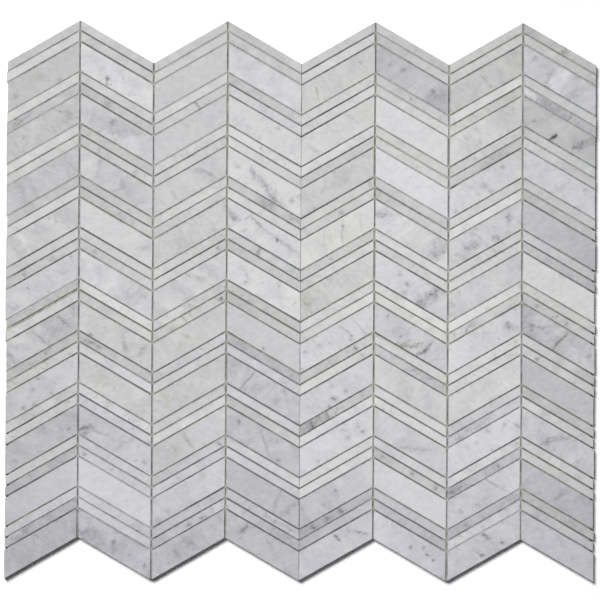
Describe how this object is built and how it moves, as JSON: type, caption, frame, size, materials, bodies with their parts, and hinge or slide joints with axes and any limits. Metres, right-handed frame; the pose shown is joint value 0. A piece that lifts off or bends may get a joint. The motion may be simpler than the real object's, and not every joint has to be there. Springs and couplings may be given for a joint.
{
  "type": "chevron mosaic wall tile sheet",
  "caption": "Sheet of honed grey-white marble chips on a glass-fibre mesh, laid in a chevron of wide bars and pencil strips, with zigzag ends that interlock with the next sheet on a wall.",
  "frame": {"origin": "centre of the sheet's outline on the plane of its back, the face that is bonded to the wall", "axes": "+X across the columns, +Y up along the columns towards the end that starts with strips, +Z out of the polished face"},
  "size_m": [0.3042, 0.2882, 0.01],
  "materials": {
    "marble": "satin",
    "mesh": "matte"
  },
  "bodies": {
    "root": {"column_1_field_chips": "marble", "column_1_strip_chips": "marble", "column_2_field_chips": "marble", "column_2_strip_chips": "marble", "column_3_field_chips": "marble", "column_3_strip_chips": "marble", "column_4_field_chips": "marble", "column_4_strip_chips": "marble", "column_5_field_chips": "marble", "column_5_strip_chips": "marble", "column_6_field_chips": "marble", "column_6_strip_chips": "marble", "column_7_field_chips": "marble", "column_7_strip_chips": "marble", "column_8_field_chips": "marble", "column_8_strip_chips": "marble", "mesh_warp_yarns": "mesh", "mesh_weft_yarns": "mesh"}
  },
  "joints": []
}
